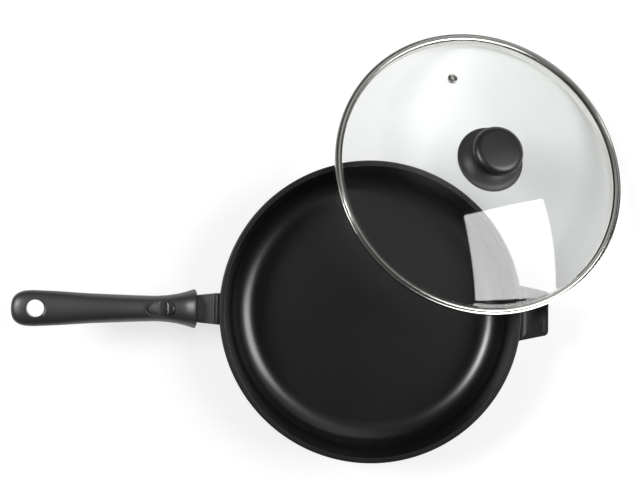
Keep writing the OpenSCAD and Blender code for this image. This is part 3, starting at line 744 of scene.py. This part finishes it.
def grip_ring(handle, start, where, count):
    """The grip's oval section at a place along it."""
    half = smooth_share(where, 1) * handle.end_w
    ring = []
    for k in range(count):
        turn = 2 * pi * k / count
        side, rise = cos(turn), sin(turn)
        tall = smooth_share(where, 2 if rise > 0 else 3) * handle.grip_h
        ring.append(Vector((start + where * handle.grip_l,
                            half * abs(side) ** (2 / SECTION_POWER) * (1 if side > 0 else -1),
                            tall * abs(rise) ** (2 / SECTION_POWER) * (1 if rise > 0 else -1))))
    return ring


def scoop_outline(start, long, wide):
    """Outline of the slider's recess: a round end by the pan and a narrower end by the tip."""
    half, taper, cap = wide / 2, 15 * mm, 3 * mm
    points = [Vector((start + half - half * sin(pi * k / 24), half * cos(pi * k / 24)))
              for k in range(25)]
    side = []
    for k in range(25):
        along = taper * sin(pi / 2 * k / 24)
        narrow = half * (0.5 + 0.5 * cos(pi / 2 * along / taper))
        closing = max(0, (along - taper + cap) / cap)
        side.append((start + long - taper + along, narrow * sqrt(1 - closing ** 2.2)))
    side[-1] = (side[-1][0], 0)
    return points + [Vector((x, -y)) for x, y in side] + [Vector(p) for p in side[-2::-1]]


class PAN_OT_handle(bpy.types.Operator):
    """Loft the grip through its sections and cut its socket, slider recess and hanging hole"""
    bl_idname = "saute_pan.handle"
    bl_label = "Handle grip"

    def execute(self, context):
        pan, handle, finish = settings().pan, settings().handle, settings().finish
        start, count = grip_start(), 64
        deselect()
        bpy.ops.mesh.primitive_circle_add(vertices=count, radius=10 * mm, fill_type="NGON")
        grip = bpy.context.object
        grip.name = grip.data.name = "handle_shell"
        # The mouth's rings stand where its rows are, and the rest close up towards the tip
        mouth_rows, rings = 5, 84
        places = [row[0] for row in GRIP[:mouth_rows]]
        collar = places[-1]
        places += [collar + (1 - collar) * (1 - (1 - k / rings) ** 1.35) for k in range(1, rings + 1)]
        edit(grip)
        bpy.ops.mesh.select_all(action="SELECT")
        for i, where in enumerate(places):
            if i:
                bpy.ops.mesh.extrude_region_move()
            mesh = bmesh.from_edit_mesh(grip.data)
            ring = grip_ring(handle, start, where, count)
            face = next(f for f in mesh.faces if f.select and len(f.verts) == count)
            if i == 0:
                corners = sorted(face.verts, key=lambda v: atan2(v.co.y, v.co.x) % (2 * pi))
                for vertex, there in zip(corners, ring):
                    vertex.co = there
                last = [v.co.copy() for v in corners]
            else:
                for vertex in face.verts:
                    k = min(range(count), key=lambda j: (vertex.co - last[j]).length_squared)
                    vertex.co = ring[k]
                last = ring
            bmesh.update_edit_mesh(grip.data)
        bpy.ops.mesh.merge(type="COLLAPSE")
        tidy(grip)
        # The socket that takes the liner, and the chamber over it for the latch
        end = pan.lug_l + pan.tongue_l + 14.1 * mm
        wide, tall, above = 8.85 * mm, 5.85 * mm, 20 * mm
        chamber, chamber_w, chamber_z = start + 17.5 * mm, 7 * mm, 8.9 * mm
        combine(grip, block("cut", (start - mm, -wide, -tall), (end, wide, tall)))
        combine(grip, block("cut", (chamber, -chamber_w, 0), (end, chamber_w, chamber_z)))
        scoop, scoop_z, scoop_flare = start + handle.scoop_start, 10.9 * mm, 1.12
        combine(grip, slab("cut", scoop_outline(scoop, handle.scoop_l, handle.scoop_w),
                           scoop_z, above, scoop_flare))
        slot, slot_l, slot_w = scoop + 2.4 * mm, 14.2 * mm, 2.8 * mm
        combine(grip, block("cut", (slot, -slot_w, 8 * mm), (slot + slot_l, slot_w, 12 * mm)))
        # The hanging hole, with a rounded lip above and below
        hang, lip = start + handle.hang_share * handle.grip_l, handle.hang_lip
        top, low = (smooth_share(handle.hang_share, c) * handle.grip_h for c in (2, 3))
        edge = [(handle.hang_r + lip * (1 - cos(radians(a))), top - lip * (1 - sin(radians(a))))
                for a in range(0, 91, 10)]
        under = [(r, -z + top - low) for r, z in edge]
        profile = ([(0, above), (edge[-1][0], above)] + edge[::-1] + under
                   + [(under[-1][0], -above), (0, -above)])
        hole = lathe("cut", [Vector(p) for p in profile], 64)
        place(hole, Matrix.Translation((hang, 0, 0)))
        combine(grip, hole)
        # The two countersunk holes for the liner's screws, from below
        head_r, hole_r, cone_h, below = 3 * mm, 1.6 * mm, 1.7 * mm, 5 * mm
        for x in (start + 11.5 * mm, end - 6.3 * mm):
            floor = -smooth_share((x - start) / handle.grip_l, 3) * handle.grip_h + 0.5 * mm
            profile = [(0, floor - below), (head_r, floor - below), (head_r, floor),
                       (hole_r, floor + cone_h), (hole_r, 0), (0, 0)]
            sink = lathe("cut", [Vector(p) for p in profile], 32)
            place(sink, Matrix.Translation((x, 0, 0)))
            combine(grip, sink)
        place(grip, handle_frame())
        finish_piece(grip, surface("grip_plastic", finish.grip, 0.43, grain=2200, bump=0.10,
                                   patch=25, depth=0.04, change=0.12, shine=1.0),
                     "handle", ["handle_grip"], 28)
        return {"FINISHED"}


class PAN_OT_slider(bpy.types.Operator):
    """Shape the thumb slider: a crowned pad with a dish, on its neck"""
    bl_idname = "saute_pan.slider"
    bl_label = "Thumb slider"

    def execute(self, context):
        handle, finish = settings().handle, settings().finish
        start = grip_start() + handle.scoop_start + handle.pad_gap
        top, low = 0.572 * handle.grip_h, 11.15 * mm
        long, wide = handle.pad_l, handle.pad_w
        pad = slab("thumb_slider", scoop_outline(start, long, wide), low, 18 * mm)
        # The pad's top is part of a drum that lies along the handle
        drum_r, drum_l, steps = 15 * mm, 60 * mm, 60
        crown = lathe("crown", [Vector(p) for p in (
            (0, 0), (drum_r, 0), (drum_r, drum_l), (0, drum_l))], 96)
        place(crown, Matrix.Translation((start - drum_l / 4, 0, top - drum_r))
              @ Matrix.Rotation(pi / 2, 4, "Y"))
        combine(pad, crown, "INTERSECT")
        dish_l = DISH[-1][0] - DISH[0][0]
        places = [DISH[0][0] + dish_l * k / steps for k in range(steps + 1)]
        curve = [(start + where * long, top - handle.dish_depth * smooth_share(where, 1, DISH))
                 for where in places]
        above, side = 30 * mm, 10 * mm
        dish = slab("dish", [Vector(p) for p in
                             curve + [(curve[-1][0], above), (curve[0][0], above)]], -side, side)
        place(dish, Matrix.Rotation(pi / 2, 4, "X"))
        combine(pad, dish)
        soften(pad, 0.45 * mm, 3, 40)
        neck_x, neck_l, neck_w = start + 2.4 * mm, 10 * mm, 2.5 * mm
        neck_z, sunk = 8.65 * mm, 0.25 * mm
        neck = block("neck", (neck_x, -neck_w, neck_z), (neck_x + neck_l, neck_w, low + sunk))
        combine(pad, neck, "UNION")
        place(pad, handle_frame())
        finish_piece(pad, surface("slider_plastic", finish.slider, 0.3, grain=2200, bump=0.08,
                                  patch=60, change=0.1, shine=0.9), "release",
                     ["release_slider"])
        return {"FINISHED"}


# Lid
FOLD = [
    # the band's top: distance from its outer edge in mm, and depth as a share of a bead's height
    (1.2, 1.5), (2.35, 0.15), (2.5, 0), (2.6, 0.15), (2.75, 1.1), (2.9, 1.1), (3.0, 0.2),
    (3.15, 0.05), (4.5, 0.5), (4.65, 1.1), (4.8, 1.1), (4.9, 0.65), (6.05, 1.3)]
FOLD_END_SHARE = 1.4


class PAN_OT_glass(bpy.types.Operator):
    """Turn the domed glass with its flat edge and cut its two holes"""
    bl_idname = "saute_pan.glass"
    bl_label = "Glass dome"

    def execute(self, context):
        lid, finish = settings().lid, settings().finish
        radius, middle, edge_r, edge_z = dome()
        outer_r = skirt_radius() + lid.flange_w - lid.band_t - lid.glass_gap
        thick, hole_r, vent_r = lid.glass_t, 5 * mm, 3 * mm
        bend, soft = 3 * mm, 0.4 * mm

        def skin(r, sphere):
            return Vector((r, middle + sqrt(sphere ** 2 - r ** 2)))
        inner = radius - thick
        inner_r = sqrt(inner ** 2 - (edge_z - thick - middle) ** 2)
        over = [skin(hole_r + (edge_r - 1.5 * mm - hole_r) * k / 30, radius) for k in range(31)]
        under = [skin(hole_r + (inner_r - bend - hole_r) * k / 30, inner)
                 for k in range(30, -1, -1)]
        rim = rounded([(*over[-1], 0), (edge_r, edge_z, soft), (outer_r, edge_z, 1.2 * mm),
                       (outer_r, edge_z - thick, 1.2 * mm), (inner_r, edge_z - thick, soft),
                       (*under[0], 0)])
        piece = lathe("lid_dome", over + rim[1:-1] + under + [over[0]], 180)
        drill = lathe("cut", [Vector(p) for p in (
            (0, -3 * thick), (vent_r, -3 * thick), (vent_r, 2 * thick), (0, 2 * thick))], 32)
        place(drill, lid_frame().inverted() @ vent_frame())
        combine(piece, drill)
        place(piece, lid_frame())
        finish_piece(piece, glass("tempered_glass", finish.glass), "lid",
                     ["lid_glass"], 30)
        return {"FINISHED"}


class PAN_OT_band(bpy.types.Operator):
    """Turn the steel band: skirt, resting flange, round edge and fold over the glass"""
    bl_idname = "saute_pan.band"
    bl_label = "Steel band"

    def execute(self, context):
        lid, finish = settings().lid, settings().finish
        skirt, t = skirt_radius(), lid.band_t
        out = skirt + lid.flange_w
        top = 2 * lid.glass_gap + lid.glass_t + 2 * t
        fold = out - lid.band_lip
        beads = [Vector((out - across * mm, top - down * lid.bead_h)) for across, down in FOLD]
        beads.append(Vector((fold, top - FOLD_END_SHARE * lid.bead_h)))
        low = rounded([
            (fold, beads[-1].y, 0), (fold, top - t, 0.2 * mm), (out - t, top - t, 0.5 * mm),
            (out - t, t, 0.4 * mm), (skirt - t, t, 0.9 * mm), (skirt - t, -lid.skirt_h, 0.35 * mm),
            (skirt, -lid.skirt_h, 0.35 * mm), (skirt, 0, 0.8 * mm), (out, 0, 1.1 * mm),
            (out, beads[0].y, 1.4 * mm), (*beads[0], 0)])
        profile = beads + low[1:-1]
        piece = lathe("lid_band", profile + [profile[0]], 180)
        place(piece, lid_frame())
        finish_piece(piece, surface("band_steel", finish.band, 0.16, 1.0, grain=500, bump=0.02,
                                    patch=40, depth=0.05, change=0.08), "lid",
                     ["lid_rim"], 40)
        return {"FINISHED"}


class PAN_OT_vent(bpy.types.Operator):
    """Turn the rolled steam vent and seat it in the glass"""
    bl_idname = "saute_pan.vent"
    bl_label = "Steam vent"

    def execute(self, context):
        lid, finish = settings().lid, settings().finish
        low, seat = -lid.glass_t - 1.45 * mm, 0.05 * mm
        bore, tube, flange = 1.8 * mm, 2.9 * mm, 4.85 * mm
        profile = rounded([
            (bore, low, 0.2 * mm), (tube, low, 0.3 * mm), (tube, seat, 0), (flange, seat, 0.2 * mm),
            (flange - 0.1 * mm, 0.6 * mm, 0.3 * mm), (3.3 * mm, 1.15 * mm, 0.6 * mm),
            (bore, 0.9 * mm, 0.7 * mm)], closed=True)
        piece = lathe("steam_vent", profile + [profile[0]], 48)
        place(piece, vent_frame())
        finish_piece(piece, surface("vent_steel", finish.band, 0.22, 1.0, grain=900, bump=0.02,
                                    patch=200, change=0.1), "lid",
                     ["vent_eyelet"], 40)
        return {"FINISHED"}


class PAN_OT_knob(bpy.types.Operator):
    """Turn the knob's flared plate and its head"""
    bl_idname = "saute_pan.knob"
    bl_label = "Lid knob"

    def execute(self, context):
        lid, finish = settings().lid, settings().finish
        radius, middle, _, _ = dome()
        seal_t, plate_h, edge_gap, edge_t, soft = 0.6 * mm, 6.4 * mm, 0.35 * mm, 1.7 * mm, 0.8 * mm
        bore, foot, neck, r = 2.8 * mm, 12 * mm, 13.5 * mm, lid.plate_r
        plate_z = lid.dome_h + seal_t
        top = plate_z + plate_h
        edge_z = middle + sqrt(radius ** 2 - r ** 2) + edge_gap
        # The plate's upper side sweeps up in an S from its flat border to the neck
        border, sweep_w, steps = 1.8 * mm, 13 * mm, 20
        flare_z, flare_w = edge_z + edge_t, (r - neck) * 0.9
        flare_h = top - 0.6 * mm - flare_z
        flare = []
        for k in range(steps + 1):
            across = r - 0.85 * mm - flare_w * k / steps
            rise = max(0, min(1, (r - border - across) / sweep_w))
            flare.append((across, flare_z + flare_h * rise * rise * (3 - 2 * rise)))
        profile = ([Vector((bore, plate_z)), Vector((foot, plate_z))]
                   + rounded([(foot, plate_z, 0), (r - 0.6 * mm, edge_z, 0.5 * mm),
                              (r, edge_z + 0.7 * mm, soft), (*flare[0], soft),
                              (*flare[1], 0)])[1:-1]
                   + [Vector(p) for p in flare[1:]]
                   + [Vector((neck - 0.6 * mm, top)), Vector((bore, top)), Vector((bore, plate_z))])
        plate = lathe("knob_base", profile, 128)
        plastic = surface("knob_plastic", finish.knob, 0.38, grain=2600, bump=0.05, patch=40,
                          depth=0.04, change=0.12, shine=0.7)
        # The plate's finish is satin, and its lighter colour is painted light
        satin_and_painted_light = surface("plate_plastic_painted_light", finish.plate, 0.45, grain=2600, bump=0.05, patch=40,
                        depth=0.04, change=0.12, shine=0.5)
        place(plate, lid_frame())
        finish_piece(plate, satin_and_painted_light, "lid", ["knob_plate"], 35)

        # The head: a waist, a sweep out to its side, a soft shoulder and a crown
        low, high = top + 0.1 * mm, lid.dome_h + lid.knob_h
        crown, side, waist, waist_h = 0.8 * mm, 0.8 * mm, 12.2 * mm, 0.6 * mm
        shoulder_w, shoulder_h = 7.6 * mm, 6.4 * mm
        shoulder_z = high - crown - shoulder_h
        wide, tall = lid.knob_r - waist, shoulder_z - side - low - waist_h
        quarter = [pi / 2 * k / 14 for k in range(15)]
        sweep = [(waist + wide * (1 - cos(a)), low + waist_h + tall * sin(a)) for a in quarter]
        cap = [(lid.knob_r - shoulder_w * (1 - cos(radians(a))), shoulder_z + shoulder_h * sin(radians(a)))
               for a in range(0, 81, 8)]
        flat = cap[-1]
        dome_top = [(flat[0] * (1 - k / 8), flat[1] + (high - flat[1]) * sin(pi / 2 * k / 8))
                    for k in range(1, 9)]
        hole_r, hole_z = 4.05 * mm, low + 12 * mm
        profile = ([(0, hole_z), (hole_r, hole_z), (hole_r, low), (waist - 0.6 * mm, low)]
                   + sweep + cap + dome_top)
        head = lathe("knob_head", [Vector(p) for p in profile], 128)
        place(head, lid_frame())
        finish_piece(head, plastic, "lid", ["lid_knob"], 35)
        return {"FINISHED"}


class PAN_OT_fittings(bpy.types.Operator):
    """Give the fastenings, the latch and the seals that the CAD frame holds their finishes"""
    bl_idname = "saute_pan.fittings"
    bl_label = "Fittings"

    def execute(self, context):
        finish = settings().finish
        liner = surface("liner_steel", finish.steel, 0.34, 1.0, grain=700, bump=0.05, patch=90)
        spring = surface("spring_steel", [c * 0.8 for c in finish.steel], 0.3, 1.0, grain=900,
                         bump=0.04, patch=120, change=0.2)
        screw = surface("screw_steel", finish.steel, 0.26, 1.0, grain=1200, bump=0.03, patch=200)
        brass = surface("insert_brass", finish.brass, 0.3, 1.0, grain=1200, bump=0.05, patch=150)
        seal = surface("seal_silicone", finish.silicone, 0.48, grain=900, bump=0.06, patch=80,
                       change=0.06)
        nodes = {"socket_liner": liner, "liner_screws": screw, "latch_blade": spring,
                 "latch_screw": screw, "slider_shoe": liner, "slider_screw": screw,
                 "vent_washer": liner, "knob_insert": brass, "knob_screw": screw,
                 "knob_washer": screw, "knob_seal_upper": seal, "knob_seal_lower": seal}
        for name, material in nodes.items():
            part = bpy.data.objects[name]
            for slot in part.material_slots:
                slot.material = material
            if not part.material_slots:
                part.data.materials.append(material)
        return {"FINISHED"}


# Stage
# The camera that was fitted to the photograph, whose pixels count from its upper left corner
PHOTO_W, PHOTO_H = 640, 480
FOCAL_PX = 959.09
MIDDLE_PX = (310.68, 240.73)
CAMERA_PLACE = (-31.69 * mm, 42.59 * mm, 1000.41 * mm)
CAMERA_TURN = [radians(a) for a in (1.5685, 1.5972, 0.755)]
SENSOR_W = 36
# Where the soft light of the world stands, and which way the paper's painted shade runs
BEHIND = (0.278, 0.689, 0.669)
SHADE_WAY = (-1.56, 0.6, 0)


def softbox(name, direction, distance, size, radiance, target=(0, 0, 50 * mm)):
    """An area light at a direction and distance from the pan, facing it. Its size is in metres."""
    deselect()
    target = Vector(target)
    away = Vector(direction).normalized()
    bpy.ops.object.light_add(type="AREA", location=target + away * distance)
    lamp = bpy.context.object
    lamp.name = name
    lamp.data.shape = "RECTANGLE"
    lamp.data.size, lamp.data.size_y = size
    lamp.data.energy = radiance * pi * size[0] * size[1]
    lamp.rotation_euler = away.to_track_quat("Z", "Y").to_euler()
    return lamp


class PAN_OT_studio(bpy.types.Operator):
    """Set up the pale floor, the softboxes, the world and the camera over the pan"""
    bl_idname = "saute_pan.studio"
    bl_label = "Studio"

    def execute(self, context):
        finish, studio = settings().finish, settings().studio
        deselect()
        bpy.ops.mesh.primitive_plane_add(size=3, location=(0, 0, -0.05 * mm))
        floor = bpy.context.object
        floor.name = "studio_floor"
        material = bpy.data.materials.new("floor_paper")
        material.use_nodes = True
        tree = material.node_tree
        tree.nodes.clear()
        path = node(tree, "ShaderNodeLightPath")
        mirrored = node(tree, "ShaderNodeMath", {0: path.outputs["Is Glossy Ray"],
                                                 1: path.outputs["Is Transmission Ray"]},
                        operation="SUBTRACT")
        seen = node(tree, "ShaderNodeMath", {0: path.outputs["Is Camera Ray"],
                                             1: mirrored.outputs[0]}, operation="MAXIMUM")
        level = node(tree, "ShaderNodeMath", {0: seen.outputs[0], 1: studio.paper},
                     operation="MULTIPLY")
        # Through the glass the paper's glow is a painted shade: it falls off towards the pan's right,
        # standing in for the soft shadow that lies there
        across = node(tree, "ShaderNodeVectorMath", {
            0: node(tree, "ShaderNodeTexCoord").outputs["Object"], 1: SHADE_WAY},
            operation="DOT_PRODUCT")
        away = node(tree, "ShaderNodeMapRange", {"Value": across.outputs["Value"], "From Min": -0.36,
                                                 "From Max": 0.01})
        fall = node(tree, "ShaderNodeMath", {0: away.outputs["Result"], 1: 5.0}, operation="POWER")
        shade = node(tree, "ShaderNodeMapRange", {
            "Value": fall.outputs[0], "To Min": studio.paper_shaded, "To Max": studio.paper_lit})
        through = node(tree, "ShaderNodeMath", {0: path.outputs["Is Transmission Ray"],
                                                1: shade.outputs["Result"]}, operation="MULTIPLY")
        level = node(tree, "ShaderNodeMath", {0: level.outputs[0], 1: through.outputs[0]},
                     operation="MAXIMUM")
        paper = node(tree, "ShaderNodeBsdfDiffuse", {"Color": (*finish.floor, 1)})
        glow = node(tree, "ShaderNodeEmission", {"Strength": level.outputs[0]})
        both = node(tree, "ShaderNodeAddShader", {0: paper.outputs[0], 1: glow.outputs[0]})
        node(tree, "ShaderNodeOutputMaterial", {"Surface": both.outputs[0]})
        floor.data.materials.append(material)

        world = bpy.data.worlds.new("studio")
        context.scene.world = world
        world.use_nodes = True
        tree = world.node_tree
        tree.nodes.clear()
        path = node(tree, "ShaderNodeLightPath")
        way = node(tree, "ShaderNodeTexCoord").outputs["Generated"]
        rise = node(tree, "ShaderNodeSeparateXYZ", {"Vector": way})
        low = node(tree, "ShaderNodeMapRange", {"Value": rise.outputs["Z"], "From Min": 0.3,
                                                "From Max": 0.6, "To Min": 1.0, "To Max": 0.0})
        through = node(tree, "ShaderNodeMath", {0: path.outputs["Is Transmission Ray"],
                                                1: low.outputs["Result"]}, operation="MULTIPLY")
        seen = node(tree, "ShaderNodeMath", {0: path.outputs["Is Camera Ray"],
                                             1: through.outputs[0]}, operation="MAXIMUM")
        # A soft light behind the pan, that the lid's band mirrors
        behind = node(tree, "ShaderNodeVectorMath", {0: way, 1: BEHIND}, operation="DOT_PRODUCT")
        soft = node(tree, "ShaderNodeMapRange", {
            "Value": behind.outputs["Value"], "From Min": 0.92, "From Max": 0.99,
            "To Min": studio.sky, "To Max": studio.sky_behind}, interpolation_type="SMOOTHSTEP")
        level = node(tree, "ShaderNodeMath", {0: seen.outputs[0], 1: soft.outputs["Result"]},
                     operation="MAXIMUM")
        sky = node(tree, "ShaderNodeBackground", {"Strength": level.outputs[0]})
        node(tree, "ShaderNodeOutputWorld", {"Surface": sky.outputs[0]})

        softbox("softbox_right", direction=(0.9, 0.14, 1), distance=1.6, size=(0.85, 0.85),
                radiance=studio.lamp_right)
        softbox("softbox_left", direction=(-0.75, 0.22, 1), distance=1.8, size=(0.55, 0.45),
                radiance=studio.lamp_left)

        deselect()
        bpy.ops.object.camera_add(location=CAMERA_PLACE, rotation=CAMERA_TURN)
        camera = bpy.context.object
        camera.name = "camera_above"
        camera.data.sensor_width = SENSOR_W
        camera.data.lens = FOCAL_PX / PHOTO_W * SENSOR_W
        camera.data.shift_x = (PHOTO_W / 2 - MIDDLE_PX[0]) / PHOTO_W
        camera.data.shift_y = (MIDDLE_PX[1] - PHOTO_H / 2) / PHOTO_W
        camera.data.clip_start, camera.data.clip_end = 0.01, 30
        context.scene.camera = camera
        context.scene.view_settings.view_transform = "Standard"
        return {"FINISHED"}


STEPS = (PAN_OT_studio, PAN_OT_shell, PAN_OT_lug, PAN_OT_side_grip, PAN_OT_handle, PAN_OT_slider,
         PAN_OT_glass, PAN_OT_band, PAN_OT_vent, PAN_OT_knob, PAN_OT_fittings)


class PAN_PT_sidebar(bpy.types.Panel):
    """Lists the pieces and the sizes of the saute pan"""
    bl_idname = "PAN_PT_sidebar"
    bl_label = "Saute pan"
    bl_space_type = "VIEW_3D"
    bl_region_type = "UI"
    bl_category = "Saute pan"

    def draw(self, context):
        for step in STEPS:
            self.layout.operator(step.bl_idname)
        for group in ("pan", "handle", "lid", "finish", "studio"):
            box, part = self.layout.box(), getattr(settings(), group)
            for name in part.__annotations__:
                box.prop(part, name)


CLASSES = (PanSizes, HandleSizes, LidSizes, Finishes, Studio, PanSettings, *STEPS, PAN_PT_sidebar)


def register():
    for item in CLASSES:
        bpy.utils.register_class(item)
    bpy.types.Scene.saute_pan = PointerProperty(type=PanSettings)


def unregister():
    del bpy.types.Scene.saute_pan
    for item in reversed(CLASSES):
        bpy.utils.unregister_class(item)


def main():
    register()
    for step in STEPS:
        group, name = step.bl_idname.split(".")
        getattr(getattr(bpy.ops, group), name)()
    deselect()


if __name__ == "__main__":
    main()
